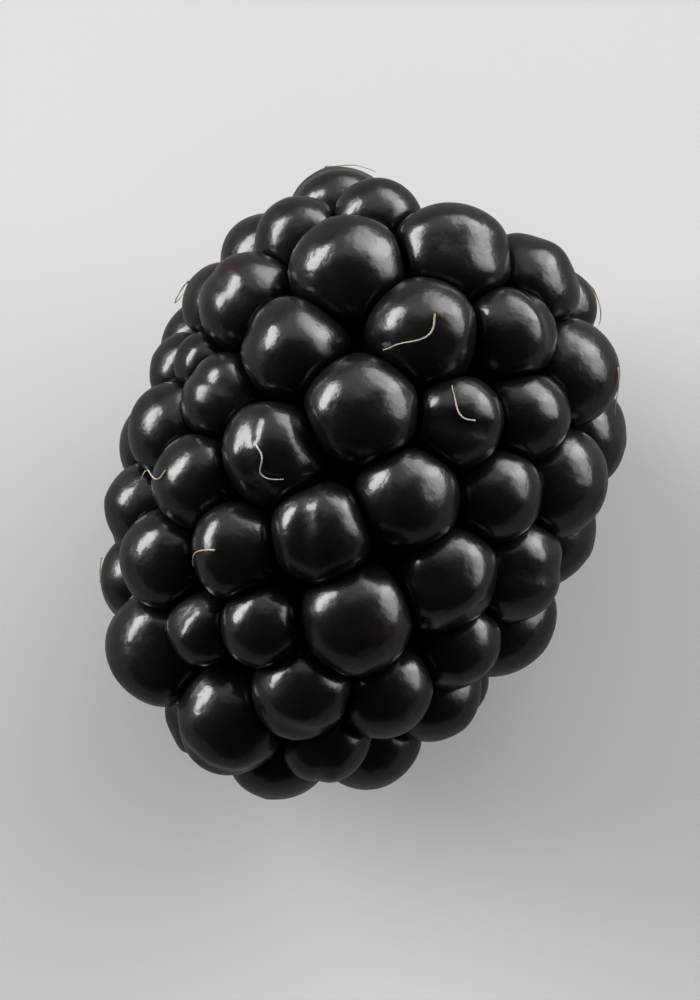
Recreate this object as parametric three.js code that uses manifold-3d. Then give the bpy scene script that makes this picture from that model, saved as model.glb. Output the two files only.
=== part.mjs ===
// A ripe bramble berry, picked without its stalk and lying on its side.
// It is one aggregate fruit: plump drupelets grown together all round, and at the stalk end, in a dimple
// between them, the dished scar of the receptacle. The drupelets that it lies on are pressed flat.
// Millimetres, +Z up. The berry's axis runs along Y, with its tip towards -Y and its stalk end towards +Y.

import * as THREE from 'three';
import { mergeVertices } from 'three/addons/utils/BufferGeometryUtils.js';
import Module from 'manifold-3d';

// The oval that the drupelets' middles lie on
const HALF_LENGTH = 12.15;
const GIRTH_RADIUS = 8.35;
const BLUNTNESS = 2.3; // 2 is an ellipse, and more is squarer at the ends
const TAPER = 0.06; // how much wider than its middle the berry is at the stalk end, and narrower at the tip

// The drupelets
const DRUPELETS = 82;
const DRUPELET_RADIUS = 2.34;
const SIZE_SPREAD = 0.18;
const RUNT_CHANCE = 0.15;
const RUNT_SIZE = 0.74;
const SEED = 3189;
const GOLDEN_TURN = Math.PI * (3 - Math.sqrt(5));

// How they pack
const SQUEEZE = 0.84; // how near two drupelets' middles come, as a share of their radii
const SETTLING_STEPS = 160;
const SETTLING_RATE = 0.25;
const ROUNDING = 1e-9;
const NEIGHBOUR_REACH = 1.7; // the farthest that neighbours' middles stand apart, as a share of their radii
const PIT_HEIGHT = 0.4; // how high above three neighbours' middles the pit between them ends

// The scar, where no drupelet grows
const DIMPLE_RADIUS = 4.7; // the nearest that a drupelet's middle comes to the axis
const SCAR_REACH = 3; // the radius of the scar's place among the drupelets
const SCAR_FOOT = 10.3;
const SCAR_RINGS = [
  { radius: 2.3, height: 0 },
  { radius: 2.1, height: 0.4 },
  { radius: 1.6, height: 0.35 },
  { radius: 0.8, height: -0.25 },
];
const SCAR_MIDDLE_HEIGHT = -0.3;

// How finely the skin is faceted
const CREASE_STEPS = 3;
const RINGS = 4;
const SLANT = new THREE.Vector3(0.36, 0.48, 0.8); // a direction that no drupelet stands out in

// How it lies
const ROLL = 2.893;
const PITCH = 0.0697;
const PRESSED_FLAT = 0.3; // how much of the lowest drupelet is pressed flat
const GROUND_SIZE = 50;
const WELD = 1e-4; // points nearer to each other than this are one

const wasm = await Module();
wasm.setup();

// Evenly spread numbers from 0 to 1 that are the same in every run, by the Park-Miller rule
function seededDraws(seed) {
  const factor = 16807;
  const prime = 2147483647;
  let state = seed;
  return () => {
    state = (state * factor) % prime;
    return state / prime;
  };
}

// 1 on the oval, less inside it and more outside
function ovalLevel(p) {
  const across = Math.hypot(p.x, p.z) / GIRTH_RADIUS;
  const along = Math.abs(p.y) / HALF_LENGTH;
  return (across ** BLUNTNESS + along ** BLUNTNESS) ** (1 / BLUNTNESS);
}

// Moves a point along its ray from the berry's middle onto the oval, and out of the dimple
function ontoOval(p) {
  p.divideScalar(ovalLevel(p));
  const across = Math.hypot(p.x, p.z);
  if (p.y > 0 && across < DIMPLE_RADIUS) {
    const share = (1 - (DIMPLE_RADIUS / GIRTH_RADIUS) ** BLUNTNESS) ** (1 / BLUNTNESS);
    p.set((p.x * DIMPLE_RADIUS) / across, HALF_LENGTH * share, (p.z * DIMPLE_RADIUS) / across);
  }
  return p;
}

// The direction straight out of the oval at a point on it
function outwards(p) {
  const across = Math.hypot(p.x, p.z);
  const slope = (across / GIRTH_RADIUS) ** (BLUNTNESS - 1) / GIRTH_RADIUS;
  const rise = (Math.abs(p.y) / HALF_LENGTH) ** (BLUNTNESS - 1) / HALF_LENGTH;
  return new THREE.Vector3((slope * p.x) / across, rise * Math.sign(p.y), (slope * p.z) / across).normalize();
}

// The drupelets start on a spiral from the tip to the stalk end, and then push each other apart
function packedDrupelets() {
  const draw = seededDraws(SEED);
  const drupelets = [];
  for (let i = 0; i < DRUPELETS; i++) {
    const along = (2 * i + 1) / DRUPELETS - 1;
    const across = GIRTH_RADIUS * Math.sqrt(1 - along ** 2);
    const turn = i * GOLDEN_TURN;
    const start = new THREE.Vector3(across * Math.cos(turn), HALF_LENGTH * along, across * Math.sin(turn));
    const varied = 1 + SIZE_SPREAD * (2 * draw() - 1);
    const runt = draw() < RUNT_CHANCE ? RUNT_SIZE : 1;
    drupelets.push({ middle: ontoOval(start), radius: DRUPELET_RADIUS * varied * runt });
  }
  for (let step = 0; step < SETTLING_STEPS; step++) {
    const pushes = drupelets.map((a) => {
      const push = new THREE.Vector3();
      for (const b of drupelets) {
        const away = a.middle.clone().sub(b.middle);
        const overlap = SQUEEZE * (a.radius + b.radius) - away.length();
        if (a !== b && overlap > 0) push.add(away.setLength(overlap * SETTLING_RATE));
      }
      return push;
    });
    drupelets.forEach((d, i) => ontoOval(d.middle.add(pushes[i])));
  }
  return drupelets.map((d) => ({ ...d, out: outwards(d.middle) }));
}

// How far outside a cell's ball a point is, as a power: negative inside, and equal at the crease of two cells
function power(cell, p) {
  return cell.middle.distanceToSquared(p) - cell.radius ** 2;
}

// The line along which three cells have equal power: its point level with their middles, and its way out
function commonLine(a, b, c) {
  const ab = b.middle.clone().sub(a.middle);
  const ac = c.middle.clone().sub(a.middle);
  const normal = ab.clone().cross(ac);
  const square = normal.lengthSq();
  const toB = (ab.lengthSq() + a.radius ** 2 - b.radius ** 2) / 2;
  const toC = (ac.lengthSq() + a.radius ** 2 - c.radius ** 2) / 2;
  const foot = ac.clone().cross(normal).multiplyScalar(toB)
    .add(normal.clone().cross(ab).multiplyScalar(toC))
    .divideScalar(square)
    .add(a.middle);
  normal.divideScalar(Math.sqrt(square));
  if (normal.dot(a.middle) < 0) normal.negate();
  return { foot, normal };
}

// Where a line that starts inside the oval comes out of it, found by halving
function wayOut({ foot, normal }) {
  const halvings = 30;
  let low = 0;
  let high = 2 * DRUPELET_RADIUS;
  for (let halving = 0; halving < halvings; halving++) {
    const middle = (low + high) / 2;
    if (ovalLevel(foot.clone().addScaledVector(normal, middle)) < 1) low = middle;
    else high = middle;
  }
  return foot.clone().addScaledVector(normal, low);
}

// The pits: every place on the oval where three cells meet and no other is nearer
function pitsBetween(cells) {
  const near = (i, j) =>
    cells[i].middle.distanceTo(cells[j].middle) < NEIGHBOUR_REACH * (cells[i].radius + cells[j].radius);
  const pits = [];
  for (let i = 0; i < cells.length; i++) {
    for (let j = i + 1; j < cells.length; j++) {
      if (!near(i, j)) continue;
      for (let k = j + 1; k < cells.length; k++) {
        if (!near(i, k) || !near(j, k)) continue;
        const line = commonLine(cells[i], cells[j], cells[k]);
        const place = wayOut(line);
        const reach = power(cells[i], place) - ROUNDING;
        const free = cells.every((c, n) => n === i || n === j || n === k || power(c, place) > reach);
        if (!free) continue;
        const depth = -power(cells[i], line.foot);
        const byScar = cells[k].isScar;
        const height = byScar ? 0 : Math.max(Math.sqrt(Math.max(depth, 0)), PIT_HEIGHT);
        pits.push({ cells: [i, j, k], place: line.foot.addScaledVector(line.normal, height) });
      }
    }
  }
  return pits;
}

// Points from one pit to the next along the crease of two cells, where their balls meet
function creaseBetween(a, b, from, to) {
  const apart = b.middle.clone().sub(a.middle);
  const share = (apart.lengthSq() + a.radius ** 2 - b.radius ** 2) / (2 * apart.lengthSq());
  const hub = a.middle.clone().addScaledVector(apart, share);
  const meeting = a.isScar || b.isScar ? 0 : Math.sqrt(Math.max(-power(a, hub), 0));
  const crease = [];
  for (let step = 1; step < CREASE_STEPS; step++) {
    const spoke = from.clone().lerp(to, step / CREASE_STEPS).sub(hub);
    crease.push(spoke.setLength(Math.max(spoke.length(), meeting)).add(hub));
  }
  return crease;
}

// Rings of a drupelet's skin from its crease in to its tip, on its ball
function drupeletRings(cell, border) {
  const rings = [];
  for (let ring = RINGS - 1; ring > 0; ring--) {
    rings.push(
      border.map((p) => {
        const way = p.clone().sub(cell.middle).normalize();
        const bend = new THREE.Quaternion().setFromUnitVectors(cell.out, way);
        const part = new THREE.Quaternion().slerp(bend, ring / RINGS);
        return cell.out.clone().applyQuaternion(part).multiplyScalar(cell.radius).add(cell.middle);
      }),
    );
  }
  return { rings, tip: cell.middle.clone().addScaledVector(cell.out, cell.radius) };
}

// Round rings of the scar, from its foot among the drupelets in to its dished middle
function scarRings(border) {
  const rings = SCAR_RINGS.map(({ radius, height }) =>
    border.map((p) => {
      const across = Math.hypot(p.x, p.z);
      return new THREE.Vector3((p.x * radius) / across, SCAR_FOOT + height, (p.z * radius) / across);
    }),
  );
  return { rings, tip: new THREE.Vector3(0, SCAR_FOOT + SCAR_MIDDLE_HEIGHT, 0) };
}

// One closed skin over all the drupelets and the scar, whose creases are shared by the two sides
function skin() {
  const scar = {
    middle: new THREE.Vector3(0, HALF_LENGTH, 0),
    radius: SCAR_REACH,
    out: new THREE.Vector3(0, 1, 0),
    isScar: true,
  };
  const cells = [...packedDrupelets(), scar];
  const points = [];
  const faces = [];
  const addPoint = (p) => points.push(p) - 1;
  const pits = pitsBetween(cells).map((pit) => ({ ...pit, point: addPoint(pit.place) }));
  const creases = new Map();

  // The points from one pit to the next, made once for the two cells that share them
  function crease(i, from, to) {
    const j = from.cells.find((n) => n !== i && to.cells.includes(n));
    const key = `${Math.min(i, j)} ${Math.max(i, j)}`;
    if (!creases.has(key)) {
      const made = creaseBetween(cells[i], cells[j], from.place, to.place);
      creases.set(key, made.map(addPoint));
      return creases.get(key);
    }
    return [...creases.get(key)].reverse();
  }

  cells.forEach((cell, i) => {
    const side = SLANT.clone().cross(cell.out).normalize();
    const up = cell.out.clone().cross(side);
    const turnOf = (pit) => {
      const spoke = pit.place.clone().sub(cell.middle);
      return Math.atan2(spoke.dot(up), spoke.dot(side));
    };
    const round = pits.filter((pit) => pit.cells.includes(i)).sort((a, b) => turnOf(a) - turnOf(b));
    const border = round.flatMap((pit, n) => [pit.point, ...crease(i, pit, round[(n + 1) % round.length])]);
    const places = border.map((n) => points[n]);
    const { rings, tip } = cell === scar ? scarRings(places) : drupeletRings(cell, places);
    const loops = [border, ...rings.map((ring) => ring.map(addPoint))];
    const count = border.length;
    for (let loop = 0; loop < loops.length - 1; loop++) {
      for (let n = 0; n < count; n++) {
        const next = (n + 1) % count;
        const [outer, inner] = [loops[loop], loops[loop + 1]];
        faces.push(outer[n], outer[next], inner[next], outer[n], inner[next], inner[n]);
      }
    }
    const last = loops[loops.length - 1];
    const end = addPoint(tip);
    for (let n = 0; n < count; n++) faces.push(last[n], last[(n + 1) % count], end);
  });
  return { points, faces };
}

const { points, faces } = skin();
for (const p of points) {
  const width = 1 + (TAPER * p.y) / HALF_LENGTH;
  p.set(p.x * width, p.y, p.z * width);
}
const geometry = new THREE.BufferGeometry().setFromPoints(points);
geometry.setIndex(faces);
geometry.rotateY(ROLL).rotateX(PITCH).computeBoundingBox();
const { min, max } = geometry.boundingBox;
geometry.translate(-(min.x + max.x) / 2, -(min.y + max.y) / 2, -(min.z + PRESSED_FLAT));

// A closed geometry as a solid for cutting
function solidOf(closed) {
  const bare = new THREE.BufferGeometry();
  bare.setAttribute('position', closed.getAttribute('position'));
  bare.setIndex(closed.index);
  const merged = mergeVertices(bare, WELD);
  return new wasm.Manifold(
    new wasm.Mesh({
      numProp: 3,
      vertProperties: merged.getAttribute('position').array,
      triVerts: new Uint32Array(merged.index.array),
    }),
  );
}

// What lies below the ground is cut off, which leaves the lowest drupelets flat
const ground = new THREE.BoxGeometry(GROUND_SIZE, GROUND_SIZE, GROUND_SIZE).translate(0, 0, -GROUND_SIZE / 2);
const whole = solidOf(geometry).subtract(solidOf(ground)).getMesh();
const pressed = new THREE.BufferGeometry();
pressed.setAttribute('position', new THREE.BufferAttribute(whole.vertProperties, 3));
pressed.setIndex(new THREE.BufferAttribute(whole.triVerts, 1));

const berry = new THREE.Mesh(
  pressed,
  new THREE.MeshStandardMaterial({ color: 0x120c12, roughness: 0.18, metalness: 0, flatShading: true }),
);
berry.name = 'berry';

const fruit = new THREE.Group();
fruit.add(berry);
export default fruit;
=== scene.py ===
# A ripe bramble berry, picked and lying on its side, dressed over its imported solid. Metres, Z up.
import math

import bpy
import numpy as np
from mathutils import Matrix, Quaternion, Vector


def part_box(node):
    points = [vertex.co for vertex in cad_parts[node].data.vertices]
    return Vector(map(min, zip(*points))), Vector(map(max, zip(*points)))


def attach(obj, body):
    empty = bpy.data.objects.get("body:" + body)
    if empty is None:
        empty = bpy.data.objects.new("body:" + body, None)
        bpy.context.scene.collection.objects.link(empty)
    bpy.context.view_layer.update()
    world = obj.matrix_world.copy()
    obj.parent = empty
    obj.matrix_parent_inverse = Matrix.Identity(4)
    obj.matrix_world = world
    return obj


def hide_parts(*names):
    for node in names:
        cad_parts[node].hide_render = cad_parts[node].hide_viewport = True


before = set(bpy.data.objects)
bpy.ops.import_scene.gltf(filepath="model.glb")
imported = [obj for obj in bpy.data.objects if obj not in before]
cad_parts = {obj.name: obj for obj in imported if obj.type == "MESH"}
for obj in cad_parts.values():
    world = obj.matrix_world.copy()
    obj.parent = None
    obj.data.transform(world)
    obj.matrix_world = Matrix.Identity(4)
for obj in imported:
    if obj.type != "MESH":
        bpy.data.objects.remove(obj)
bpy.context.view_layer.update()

# ---------------------------------------------------------------------------------------------------------
# The drupelets
# Each is a little fleshy fruit of its own: a thin taut skin over dark juice and one seed. They grow crowded
# all round the receptacle, so each is a ball where it is free and flat where it meets its neighbours, with a
# deep fine crease between, and those that the berry lies on are pressed flat.

HALF_LENGTH = 0.01215  # of the oval that the drupelets' middles lie on
GIRTH_RADIUS = 0.00835
BLUNTNESS = 2.3  # 2 is an ellipse, and more is squarer at the ends
TAPER = 0.06  # how much wider than its middle the berry is at the stalk end, and narrower at the tip
DIMPLE_RADIUS = 0.0047  # the nearest that a drupelet's middle comes to the axis at the stalk end
DRUPELETS = 82
DRUPELET_RADIUS = 0.00234
SIZE_SPREAD = 0.18
RUNT_CHANCE = 0.15
RUNT_SIZE = 0.74
SEED = 3189
GOLDEN_TURN = math.pi * (3 - math.sqrt(5))
SQUEEZE = 0.84  # how near two drupelets' middles come, as a share of their radii
SETTLING_STEPS = 160
SETTLING_RATE = 0.25
ROLL = 2.893
PITCH = 0.0697
CREASE_WIDTH = 0.00005
CREASE_SHARPNESS = 20
NEIGHBOUR_REACH = 1.7  # how far apart drupelets can be and still touch, as a share of their radii
LUMPINESS = (0.02, 0.065)  # how far a drupelet departs from a ball, least and most, as a share of its radius
LUMPS = 5
LUMP_WAVES = 2.2  # about how many radians of a lump there are to a radius
FOLD_SHARE = 0.25  # of the drupelets, whose ripe skin has sunk in a shallow fold
FOLD_DEPTH = 0.07  # as a share of the radius
FOLD_WIDTH = 0.22
FOLD_OFFSET = 0.35  # how far from the middle of the drupelet's face a fold may run
TIP_HEIGHT = 0.014  # of the point where the style grew, as a share of the radius
TIP_WIDTH = 0.13
ASKEW = (0.36, 0.48, 0.8)  # a direction that no drupelet faces
SIDES = 48
RING_ANGLES = np.radians(np.concatenate([np.linspace(5, 116, 21), [130, 150]]))
SHEEN_ROUGHNESS = (0.26, 0.44)
CAST_LUMPS = 260  # a metre, as are the other kinds of lumps in the finishes
HAZE_LUMPS = 900
WAVE_LUMPS = 900
WAVE_HEIGHT = 0.00007
PORE_LUMPS = 7000
PORE_HEIGHT = 0.000006


def seeded_draws(seed):
    """Evenly spread numbers from 0 to 1 that are the same in every run."""
    while True:
        seed = seed * 16807 % 2147483647
        yield seed / 2147483647


def onto_oval(points):
    """Moves points along their rays from the berry's middle onto the oval, and out of the dimple."""
    across = np.hypot(points[:, 0], points[:, 2]) / GIRTH_RADIUS
    along = np.abs(points[:, 1]) / HALF_LENGTH
    points = points / ((across**BLUNTNESS + along**BLUNTNESS) ** (1 / BLUNTNESS))[:, None]
    across = np.hypot(points[:, 0], points[:, 2])
    share = (1 - (DIMPLE_RADIUS / GIRTH_RADIUS) ** BLUNTNESS) ** (1 / BLUNTNESS)
    widened = points * (DIMPLE_RADIUS / across)[:, None]
    widened[:, 1] = HALF_LENGTH * share
    in_dimple = (points[:, 1] > 0) & (across < DIMPLE_RADIUS)
    return np.where(in_dimple[:, None], widened, points)


def packed_drupelets():
    """Their middles and radii: a spiral from tip to stalk end, whose members push each other apart."""
    draw = seeded_draws(SEED)
    starts, radii = [], []
    for i in range(DRUPELETS):
        along = (2 * i + 1) / DRUPELETS - 1
        across = GIRTH_RADIUS * math.sqrt(1 - along**2)
        turn = i * GOLDEN_TURN
        starts.append([across * math.cos(turn), HALF_LENGTH * along, across * math.sin(turn)])
        varied = 1 + SIZE_SPREAD * (2 * next(draw) - 1)
        runt = RUNT_SIZE if next(draw) < RUNT_CHANCE else 1
        radii.append(DRUPELET_RADIUS * varied * runt)
    radii = np.array(radii)
    middles = onto_oval(np.array(starts))
    nearest = SQUEEZE * (radii[:, None] + radii)
    for _ in range(SETTLING_STEPS):
        away = middles[:, None] - middles
        apart = np.linalg.norm(away, axis=2) + np.eye(DRUPELETS)
        push = np.clip(nearest - apart, 0, None) * SETTLING_RATE / apart
        np.fill_diagonal(push, 0)
        middles = onto_oval(middles + (away * push[:, :, None]).sum(axis=1))
    return middles, radii


def outwards(points):
    """The directions straight out of the oval at points on it."""
    across = np.hypot(points[:, 0], points[:, 2])
    slope = (across / GIRTH_RADIUS) ** (BLUNTNESS - 1) / GIRTH_RADIUS / across
    rise = (np.abs(points[:, 1]) / HALF_LENGTH) ** (BLUNTNESS - 1) / HALF_LENGTH
    out = np.stack([slope * points[:, 0], rise * np.sign(points[:, 1]), slope * points[:, 2]], axis=1)
    return out / np.linalg.norm(out, axis=1)[:, None]


def lying(points):
    """Points of the upright oval, widened towards the stalk end and rolled into how the berry lies."""
    width = 1 + TAPER * points[:, 1] / HALF_LENGTH
    x, y, z = points[:, 0] * width, points[:, 1], points[:, 2] * width
    x, z = x * math.cos(ROLL) + z * math.sin(ROLL), z * math.cos(ROLL) - x * math.sin(ROLL)
    y, z = y * math.cos(PITCH) - z * math.sin(PITCH), y * math.sin(PITCH) + z * math.cos(PITCH)
    return np.stack([x, y, z], axis=1)


def frame_of(out):
    """Two directions across a drupelet's way out, and that way."""
    side = np.cross(ASKEW, out)
    side /= np.linalg.norm(side)
    return np.stack([side, np.cross(out, side), out])


def skin_radius(i, ways):
    """How far drupelet i's skin is from its middle in the given directions."""
    lump_draw = np.random.default_rng(SEED + i)
    least, most = LUMPINESS
    lumpiness = least + (most - least) * lump_draw.random() ** 2
    lumps = np.ones(len(ways))
    for _ in range(LUMPS):
        wave = lump_draw.normal(size=3) * LUMP_WAVES
        lumps += lumpiness * np.sin(ways @ wave + lump_draw.uniform(0, 2 * math.pi)) / math.sqrt(LUMPS)
    side, up, out = frame_of(outs[i])
    if lump_draw.random() < FOLD_SHARE:
        turn = lump_draw.uniform(0, 2 * math.pi)
        from_fold = ways @ (math.cos(turn) * side + math.sin(turn) * up) - lump_draw.uniform(0, FOLD_OFFSET)
        lumps -= FOLD_DEPTH * np.exp(-((from_fold / FOLD_WIDTH) ** 2)) * np.clip(ways @ out, 0, 1)
    off_tip = np.arccos(np.clip(ways @ out, -1, 1))
    tip = 1 + TIP_HEIGHT * np.exp(-((off_tip / TIP_WIDTH) ** 2))
    nearness = (1 / (radii[i] * lumps * tip)) ** CREASE_SHARPNESS
    to_others = middles - middles[i]
    apart = np.linalg.norm(to_others, axis=1)
    for j in np.flatnonzero((apart > 0) & (apart < NEIGHBOUR_REACH * (radii + radii[i]))):
        wall = (apart[j] ** 2 + radii[i] ** 2 - radii[j] ** 2) / (2 * apart[j]) - CREASE_WIDTH / 2
        towards = np.clip(ways @ (to_others[j] / apart[j]), 0, None)
        nearness += (towards / wall) ** CREASE_SHARPNESS
    return nearness ** (-1 / CREASE_SHARPNESS)


def ring_faces(rings, sides, first=0):
    """Quads between rings of points, with a fan on to a first and a last single point."""
    faces = []
    end = first + 1 + rings * sides
    for n in range(sides):
        after = (n + 1) % sides
        faces.append((first, first + 1 + n, first + 1 + after))
        for ring in range(rings - 1):
            a = first + 1 + ring * sides
            b = a + sides
            faces.append((a + n, b + n, b + after, a + after))
        last = end - sides
        faces.append((last + n, end, last + after))
    return faces


def new_piece(name, points, faces):
    mesh = bpy.data.meshes.new(name)
    mesh.from_pydata([tuple(p) for p in points], [], faces)
    mesh.validate()
    mesh.shade_smooth()
    piece = bpy.data.objects.new(name, mesh)
    bpy.context.scene.collection.objects.link(piece)
    return piece


middles, radii = packed_drupelets()
outs = outwards(middles)
turns = np.linspace(0, 2 * math.pi, SIDES, endpoint=False)
grid = [[0, 0, 1]]
for angle in RING_ANGLES:
    for turn in turns:
        grid.append([math.sin(angle) * math.cos(turn), math.sin(angle) * math.sin(turn), math.cos(angle)])
grid = np.array(grid + [[0, 0, -1]])

skin_points, skin_faces = [], []
for i in range(DRUPELETS):
    ways = grid @ frame_of(outs[i])
    skin_points.append(middles[i] + ways * skin_radius(i, ways)[:, None])
    skin_faces += ring_faces(len(RING_ANGLES), SIDES, i * len(grid))
skin_points = lying(np.concatenate(skin_points))

# The berry is set down where its solid is, and does not sink into the surface
lowest, highest = skin_points.min(axis=0), skin_points.max(axis=0)
solid_low, solid_high = (np.array(corner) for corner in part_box("berry"))
setting_down = (solid_low + solid_high - lowest - highest) / 2
setting_down[2] = solid_high[2] - highest[2]


def set_down(points):
    """Lying points, moved to where the solid lies."""
    return points + setting_down


skin_points = set_down(skin_points)
skin_points[:, 2] = np.maximum(skin_points[:, 2], 0)

drupelets = new_piece("drupelets", skin_points, skin_faces)


def new_material(name):
    material = bpy.data.materials.new(name)
    material.use_nodes = True
    nodes = material.node_tree.nodes
    return material, nodes, material.node_tree.links, nodes["Principled BSDF"]


def noise(nodes, links, scale, detail=3.0, roughness=0.5):
    """A noise in the piece's own space, with the given number of lumps a metre."""
    place = nodes.new("ShaderNodeTexCoord")
    texture = nodes.new("ShaderNodeTexNoise")
    texture.inputs["Scale"].default_value = scale
    texture.inputs["Detail"].default_value = detail
    texture.inputs["Roughness"].default_value = roughness
    links.new(place.outputs["Object"], texture.inputs["Vector"])
    return texture.outputs["Fac"]


def ramp(nodes, links, source, stops):
    """Turns a number into a colour by (place, colour) stops."""
    node = nodes.new("ShaderNodeValToRGB")
    elements = node.color_ramp.elements
    while len(elements) < len(stops):
        elements.new(0.5)
    for element, (place, colour) in zip(elements, stops):
        element.position = place
        element.color = (*colour, 1)
    links.new(source, node.inputs["Fac"])
    return node.outputs["Color"]


def spread(nodes, links, source, low, high, start=0.3, end=0.7):
    """Maps a noise onto a range of values."""
    node = nodes.new("ShaderNodeMapRange")
    for name, value in (("From Min", start), ("From Max", end), ("To Min", low), ("To Max", high)):
        node.inputs[name].default_value = value
    links.new(source, node.inputs["Value"])
    return node.outputs["Result"]


def bump(nodes, links, height, distance, below=None):
    node = nodes.new("ShaderNodeBump")
    node.inputs["Strength"].default_value = 1
    node.inputs["Distance"].default_value = distance
    links.new(height, node.inputs["Height"])
    if below:
        links.new(below, node.inputs["Normal"])
    return node.outputs["Normal"]


def skin_material():
    """Taut near-black skin: a tight gloss over a softer sheen, with a purple-red cast here and there."""
    material, nodes, links, shader = new_material("drupelet_skin")
    cast = noise(nodes, links, CAST_LUMPS, 2)
    colours = [(0.35, (0.003, 0.003, 0.003)), (0.6, (0.004, 0.003, 0.0033)), (0.8, (0.010, 0.004, 0.0055))]
    links.new(ramp(nodes, links, cast, colours), shader.inputs["Base Color"])
    haze = noise(nodes, links, HAZE_LUMPS, 4, 0.6)
    links.new(spread(nodes, links, haze, *SHEEN_ROUGHNESS), shader.inputs["Roughness"])
    shader.inputs["IOR"].default_value = 1.27
    shader.inputs["Coat Weight"].default_value = 0.85
    shader.inputs["Coat Roughness"].default_value = 0.18
    shader.inputs["Coat IOR"].default_value = 1.42
    waves = bump(nodes, links, noise(nodes, links, WAVE_LUMPS, 2), WAVE_HEIGHT)
    pores = bump(nodes, links, noise(nodes, links, PORE_LUMPS, 2), PORE_HEIGHT, waves)
    links.new(pores, shader.inputs["Normal"])
    links.new(pores, shader.inputs["Coat Normal"])
    return material


drupelets.data.materials.append(skin_material())
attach(drupelets, "root")
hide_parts("berry")

# ---------------------------------------------------------------------------------------------------------
# The receptacle
# The blunt cone of pith that the drupelets grow on. Picking leaves it in the berry, so that only its torn end
# shows: a small pale disc, dished and fibrous, in the dimple at the stalk end.

CORE_SIZE = 0.82  # as a share of the oval
SCAR_FOOT = 0.0103
SCAR_PROFILE = [
    (0.0026, -0.0004),
    (0.0023, 0.0),
    (0.0022, 0.00025),
    (0.00208, 0.0004),
    (0.0019, 0.00044),
    (0.00165, 0.00032),
    (0.0015, 0.00022),
    (0.00135, 0.0001),
    (0.0012, -0.00004),
    (0.0010, -0.00015),
    (0.0007, -0.00024),
    (0.0004, -0.00018),
    (0.0002, -0.00022),
]
CORE_SIDES = 96
CORE_RINGS = 24
CORE_SWEEP = 0.78 * math.pi  # how far from the tip its round part runs before the scar begins
TORN = 0.00009  # how rough the torn end is
FIBRE_COUNTS = (23, 37, 11)  # round the torn end
FIBRE_TWIST = 20000  # radians a metre
OUT_OF_ROUND = 0.03
STAIN_AND_SHADE_FROM = (0.0024, 0.0032)  # how far from the scar's middle the dark colour starts, and is full: a juice stain by the scar, and painted shade on the pith among the drupelets
STAIN_AND_SHADE_SPREAD = 0.0012
STAIN_AND_SHADE_LUMPS = 900
FIBRE_LUMPS = 2600
PITH_LUMPS = 4000
PITH_HEIGHT = 0.0001


def receptacle():
    outline = []
    for n in range(1, CORE_RINGS):
        y = -CORE_SIZE * HALF_LENGTH * math.cos(CORE_SWEEP * n / CORE_RINGS)
        share = 1 - (abs(y) / (CORE_SIZE * HALF_LENGTH)) ** BLUNTNESS
        outline.append((CORE_SIZE * GIRTH_RADIUS * share ** (1 / BLUNTNESS), y))
    outline += [(radius, SCAR_FOOT + height) for radius, height in SCAR_PROFILE]
    points = [[0, -CORE_SIZE * HALF_LENGTH, 0]]
    for n, (radius, y) in enumerate(outline):
        torn = TORN if n >= CORE_RINGS else 0
        for turn in np.linspace(0, 2 * math.pi, CORE_SIDES, endpoint=False):
            fine, finer, coarse = (count * turn for count in FIBRE_COUNTS)
            fibre = math.sin(fine + FIBRE_TWIST * radius) + math.sin(finer - 1.3) + math.sin(coarse)
            wide = radius * (1 + OUT_OF_ROUND * math.sin(3 * turn + 0.7) * (torn > 0))
            points.append([wide * math.cos(turn), y + torn * fibre / 3, wide * math.sin(turn)])
    points.append([0, SCAR_FOOT + SCAR_PROFILE[-1][1], 0])
    faces = ring_faces(len(outline), CORE_SIDES)
    return new_piece("receptacle", set_down(lying(np.array(points))), [face[::-1] for face in faces])


def pith_material():
    """Juice-stained by the scar's rim and painted near black further in, as shade on the pith among the
    drupelets; pale green-white and fibrous at the torn end.
    """
    material, nodes, links, shader = new_material("receptacle")
    place = nodes.new("ShaderNodeTexCoord")
    from_scar = nodes.new("ShaderNodeVectorMath")
    from_scar.operation = "DISTANCE"
    from_scar.inputs[1].default_value = set_down(lying(np.array([[0, SCAR_FOOT, 0]])))[0]
    links.new(place.outputs["Object"], from_scar.inputs[0])
    uneven = nodes.new("ShaderNodeMath")
    uneven.operation = "MULTIPLY_ADD"
    uneven.inputs[1].default_value = STAIN_AND_SHADE_SPREAD
    links.new(noise(nodes, links, STAIN_AND_SHADE_LUMPS, 4, 0.6), uneven.inputs[0])
    links.new(from_scar.outputs["Value"], uneven.inputs[2])
    # painted shade with a juice stain: dark from a little way out of the scar, so that the pith between the
    # drupelets is near black
    stain_and_shade = spread(nodes, links, uneven.outputs["Value"], 0, 1, *STAIN_AND_SHADE_FROM)
    colours = [(0.3, (0.28, 0.25, 0.14)), (0.5, (0.39, 0.38, 0.24)), (0.7, (0.50, 0.50, 0.36))]
    fibres = ramp(nodes, links, noise(nodes, links, FIBRE_LUMPS, 5, 0.65), colours)
    mix = nodes.new("ShaderNodeMix")
    mix.data_type = "RGBA"
    links.new(stain_and_shade, mix.inputs["Factor"])
    links.new(fibres, mix.inputs["A"])
    # near black: painted shade on the pith between the drupelets, and the juice stain by the scar
    mix.inputs["B"].default_value = (0.004, 0.0015, 0.002, 1)
    links.new(mix.outputs["Result"], shader.inputs["Base Color"])
    shader.inputs["Roughness"].default_value = 0.75
    shader.inputs["IOR"].default_value = 1.25
    rough = bump(nodes, links, noise(nodes, links, PITH_LUMPS, 4, 0.6), PITH_HEIGHT)
    links.new(rough, shader.inputs["Normal"])
    return material


receptacle_piece = receptacle()
receptacle_piece.data.materials.append(pith_material())
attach(receptacle_piece, "root")

# ---------------------------------------------------------------------------------------------------------
# The strand ends
# The strands that fed the drupelets run up through the pith in a ring. Where the stalk came off they have
# torn, and their brown ends stand a little out of the scar.

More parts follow.
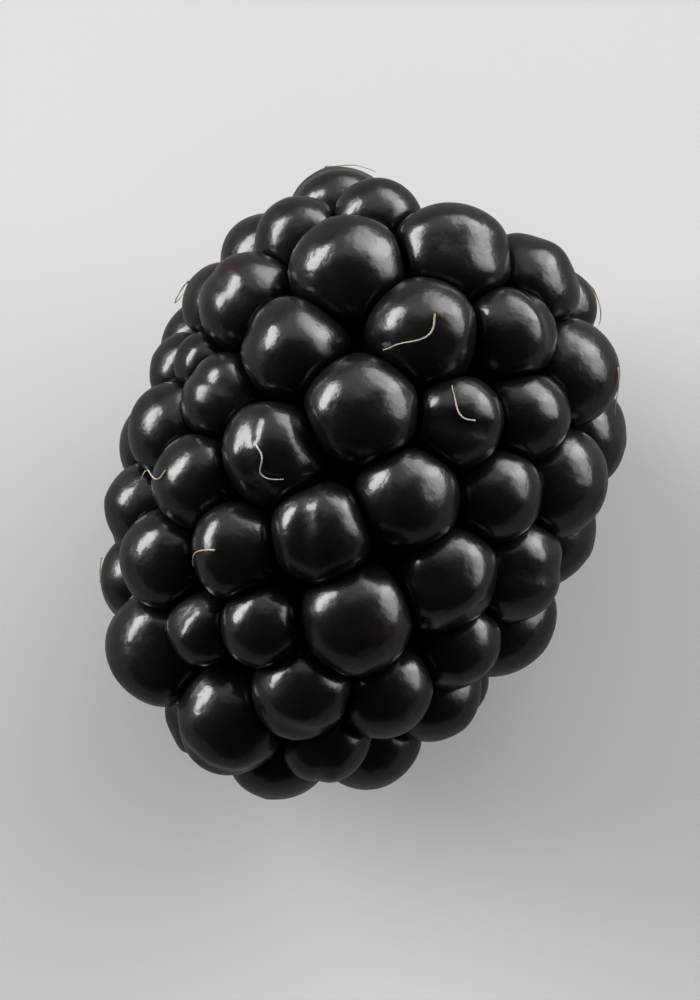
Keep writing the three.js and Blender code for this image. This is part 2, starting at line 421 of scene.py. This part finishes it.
STRANDS = 13
STRAND_RING = 0.00128
STRAND_THICKNESS = 0.00015
STRAND_OUT = (0.00008, 0.00028)  # how far they stand out
STRAND_ROOT = 0.0004  # how far below the scar's foot they start
STRAND_SPLAY = 1.05
STRAND_STEPS = 6
STRAND_THINNING = 0.4
STRAND_LUMPS = 2500
STRAND_GRAIN = 14000
THREAD_SIDES = 8
THREAD_ASKEW = (0.3, 0.5, 0.81)  # a direction that no thread runs in
THREAD_ROUGH = 0.00001


def thread(line, thickness, thinning, first):
    """Points and faces of a thin round thread along a line of points, thinner at its far end."""
    points, faces = [], []
    along = np.gradient(line, axis=0)
    along /= np.linalg.norm(along, axis=1)[:, None]
    across = np.cross(along, THREAD_ASKEW)
    across /= np.linalg.norm(across, axis=1)[:, None]
    up = np.cross(along, across)
    points.append(line[0])
    for n, p in enumerate(line):
        width = thickness * (1 - thinning * n / len(line))
        for turn in np.linspace(0, 2 * math.pi, THREAD_SIDES, endpoint=False):
            points.append(p + width * (math.cos(turn) * across[n] + math.sin(turn) * up[n]))
    points.append(line[-1])
    return points, ring_faces(len(line), THREAD_SIDES, first)


def strand_ends():
    draw = np.random.default_rng(STRANDS)
    points, faces = [], []
    ring_height = np.interp(STRAND_RING, *np.array(sorted(SCAR_PROFILE)).T)
    for n in range(STRANDS):
        turn = (n + draw.uniform(-0.3, 0.3)) * 2 * math.pi / STRANDS
        ring = STRAND_RING * draw.uniform(0.9, 1.1)
        height = SCAR_FOOT + ring_height + draw.uniform(*STRAND_OUT)
        foot = np.array([ring * math.cos(turn), SCAR_FOOT - STRAND_ROOT, ring * math.sin(turn)])
        ring *= STRAND_SPLAY
        end = np.array([ring * math.cos(turn), height, ring * math.sin(turn)])
        line = set_down(lying(np.linspace(foot, end, STRAND_STEPS)))
        thickness = STRAND_THICKNESS * draw.uniform(0.7, 1.2)
        strand_points, strand_faces = thread(line, thickness, STRAND_THINNING, len(points))
        points += strand_points
        faces += strand_faces
    return new_piece("strand_ends", points, faces)


def strand_material():
    """Dried fibres, browner and greener from end to end."""
    material, nodes, links, shader = new_material("strand_ends")
    colours = [(0.35, (0.10, 0.07, 0.03)), (0.65, (0.26, 0.22, 0.09))]
    links.new(ramp(nodes, links, noise(nodes, links, STRAND_LUMPS), colours), shader.inputs["Base Color"])
    shader.inputs["Roughness"].default_value = 0.6
    links.new(bump(nodes, links, noise(nodes, links, STRAND_GRAIN), THREAD_ROUGH), shader.inputs["Normal"])
    return material


strands = strand_ends()
strands.data.materials.append(strand_material())
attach(strands, "root")

# ---------------------------------------------------------------------------------------------------------
# The withered styles
# What is left of the flower: each drupelet once had a style, and on some a thin dry thread still hangs from
# its point, curled against the skin. They are stiff, and a greyish straw colour.

STYLE_SHARE = 0.25
STYLE_SEED = 4021
STYLE_THICKNESS = 0.000045
STYLE_LENGTH = (0.0012, 0.0026)
STYLE_CURL = 1.2
STYLE_WOBBLE = 0.5
STYLE_LIFT = 0.0005  # how far its end may stand off the skin
STYLE_THINNING = 0.55
STYLE_LUMPS = 1500
STYLE_GRAIN = 12000
STYLE_STEPS = 16
STYLE_CLEARANCE = 0.0003  # over the surface that the berry lies on


def withered_styles():
    draw = np.random.default_rng(STYLE_SEED)
    points, faces = [], []
    for i in range(DRUPELETS):
        has_one = draw.random() < STYLE_SHARE
        length = draw.uniform(*STYLE_LENGTH)
        heading = draw.uniform(0, 2 * math.pi)
        curl = draw.uniform(-STYLE_CURL, STYLE_CURL)
        wobble = draw.uniform(-STYLE_WOBBLE, STYLE_WOBBLE)
        lift = draw.uniform(0, STYLE_LIFT)
        if not has_one:
            continue
        side, up, out = frame_of(outs[i])
        line = []
        for step in np.linspace(0, 1, STYLE_STEPS):
            angle = step * length / radii[i]
            turn = heading + curl * step**1.5 + wobble * math.sin(7 * step)
            way = math.cos(angle) * out + math.sin(angle) * (math.cos(turn) * side + math.sin(turn) * up)
            skin = skin_radius(i, way[None, :])[0]
            line.append(middles[i] + way * (skin + STYLE_THICKNESS * 0.6 + lift * step**1.4))
        line = set_down(lying(np.array(line)))
        past_sides = (line[:, :2] < solid_low[:2]).any() or (line[:, :2] > solid_high[:2]).any()
        if past_sides or line[:, 2].min() < STYLE_CLEARANCE:
            continue  # rubbed off
        style_points, style_faces = thread(line, STYLE_THICKNESS, STYLE_THINNING, len(points))
        points += style_points
        faces += style_faces
    return new_piece("withered_styles", points, faces)


def thread_material():
    """Dry straw, paler and darker along its length."""
    material, nodes, links, shader = new_material("withered_style")
    colours = [(0.35, (0.16, 0.12, 0.085)), (0.65, (0.42, 0.34, 0.25))]
    links.new(ramp(nodes, links, noise(nodes, links, STYLE_LUMPS), colours), shader.inputs["Base Color"])
    shader.inputs["Roughness"].default_value = 0.55
    links.new(bump(nodes, links, noise(nodes, links, STYLE_GRAIN), THREAD_ROUGH), shader.inputs["Normal"])
    return material


styles = withered_styles()
styles.data.materials.append(thread_material())
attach(styles, "root")

# ---------------------------------------------------------------------------------------------------------
# The floor
# A plain pale surface, matt as paper and wide enough that its edge never shows. The glossy skin mirrors it
# darker than it is, as if more dark fruit lay around.

FLOOR_SIZE = 4.0
FLOOR_TONE = 0.5
MIRRORED_TONE = 0.15


def floor_piece():
    half = FLOOR_SIZE / 2
    corners = [(-half, -half, 0), (half, -half, 0), (half, half, 0), (-half, half, 0)]
    floor = new_piece("floor", corners, [(0, 1, 2, 3)])
    material, nodes, links, shader = new_material("floor")
    rays = nodes.new("ShaderNodeLightPath")
    tones = [(0, (FLOOR_TONE,) * 3), (1, (MIRRORED_TONE,) * 3)]
    links.new(ramp(nodes, links, rays.outputs["Is Glossy Ray"], tones), shader.inputs["Base Color"])
    shader.inputs["Roughness"].default_value = 1.0
    shader.inputs["Specular IOR Level"].default_value = 0.0
    floor.data.materials.append(material)
    return floor


floor_piece()

# ---------------------------------------------------------------------------------------------------------
# The camera
# It looks steeply down through a long lens, from far enough that the berry isn't drawn out of shape, and is
# turned so that the berry leans to the right with its tip lowest.

LEAN = math.radians(23)
CAMERA_ELEVATION = math.radians(80)
CAMERA_DISTANCE = 0.5
FRAME_WIDTH = 0.031
SENSOR_WIDTH = 36.0
AIM_HEIGHT = 0.45  # as a share of the berry's height
berry_middle = Vector((0, 0, solid_high[2] * AIM_HEIGHT))
frame_up = Vector((-math.sin(LEAN), math.cos(LEAN), 0))
frame_right = Vector((math.cos(LEAN), math.sin(LEAN), 0))


def direction(clock, elevation):
    """The way to something seen at a clock angle in the frame, and at an elevation above the floor."""
    level = frame_up * math.cos(clock) + frame_right * math.sin(clock)
    return level * math.cos(elevation) + Vector((0, 0, math.sin(elevation)))


camera_data = bpy.data.cameras.new("camera")
camera_data.sensor_fit = "HORIZONTAL"
camera_data.sensor_width = SENSOR_WIDTH
camera_data.lens = SENSOR_WIDTH * CAMERA_DISTANCE / FRAME_WIDTH
camera = bpy.data.objects.new("camera", camera_data)
bpy.context.scene.collection.objects.link(camera)
to_camera = direction(math.pi, CAMERA_ELEVATION)
camera.location = berry_middle + to_camera * CAMERA_DISTANCE
camera.rotation_euler = to_camera.to_track_quat("Z", "Y").to_euler()
bpy.context.scene.camera = camera

# ---------------------------------------------------------------------------------------------------------
# The light
# An oval soft box stands low behind the berry to the left. The room is dim, and glows softly along its far
# wall and low on its right. A fill overhead lights the floor alone.

LIGHT_DISTANCE = 1.5
ROOM = 0.02
GLOWS = [
    # clock angle, elevation, how many degrees it reaches, brightness
    (0, 36, 44, 1.0),
    (34, 11, 37, 6.4),
    (68, 11, 37, 6.4),
]
# name, clock angle, elevation, degrees wide, degrees tall, degrees tilted, brightness
KEY = ("key", -64, 21, 52, 24, -18, 17.0)
FILL = ("fill", 0, 85, 90, 90, 0, 0.4)


def soft_box(name, clock, elevation, wide, tall, tilt, brightness):
    """An even oval of light that faces the berry and looks so wide and so tall from there."""
    data = bpy.data.lights.new(name, "AREA")
    data.shape = "ELLIPSE"
    data.size = 2 * LIGHT_DISTANCE * math.tan(math.radians(wide / 2))
    data.size_y = 2 * LIGHT_DISTANCE * math.tan(math.radians(tall / 2))
    data.energy = brightness * math.pi * (math.pi / 4 * data.size * data.size_y)
    light = bpy.data.objects.new(name, data)
    light.visible_camera = False
    bpy.context.scene.collection.objects.link(light)
    way = direction(math.radians(clock), math.radians(elevation))
    light.location = berry_middle + way * LIGHT_DISTANCE
    tilted = way.to_track_quat("Z", "Y") @ Quaternion((0, 0, 1), math.radians(tilt))
    light.rotation_euler = tilted.to_euler()
    return light


soft_box(*KEY)
soft_box(*FILL).visible_glossy = False  # the berry doesn't mirror it


def room():
    """A dim room with soft glows on its walls."""
    world = bpy.data.worlds.new("room")
    world.use_nodes = True
    nodes, links = world.node_tree.nodes, world.node_tree.links
    place = nodes.new("ShaderNodeTexCoord")
    total = None
    for clock, elevation, reach, brightness in GLOWS:
        towards = nodes.new("ShaderNodeVectorMath")
        towards.operation = "DOT_PRODUCT"
        towards.inputs[1].default_value = direction(math.radians(clock), math.radians(elevation))
        links.new(place.outputs["Generated"], towards.inputs[0])
        glow = nodes.new("ShaderNodeMapRange")
        glow.interpolation_type = "SMOOTHSTEP"
        glow.inputs["From Min"].default_value = math.cos(math.radians(reach))
        glow.inputs["To Max"].default_value = brightness
        links.new(towards.outputs["Value"], glow.inputs["Value"])
        added = nodes.new("ShaderNodeMath")
        added.inputs[1].default_value = ROOM
        links.new(glow.outputs["Result"], added.inputs[0])
        if total:
            links.new(total, added.inputs[1])
        total = added.outputs["Value"]
    links.new(total, nodes["Background"].inputs["Strength"])
    nodes["Background"].inputs["Color"].default_value = (1, 1, 1, 1)
    return world


bpy.context.scene.world = room()
bpy.context.scene.view_settings.view_transform = "Standard"
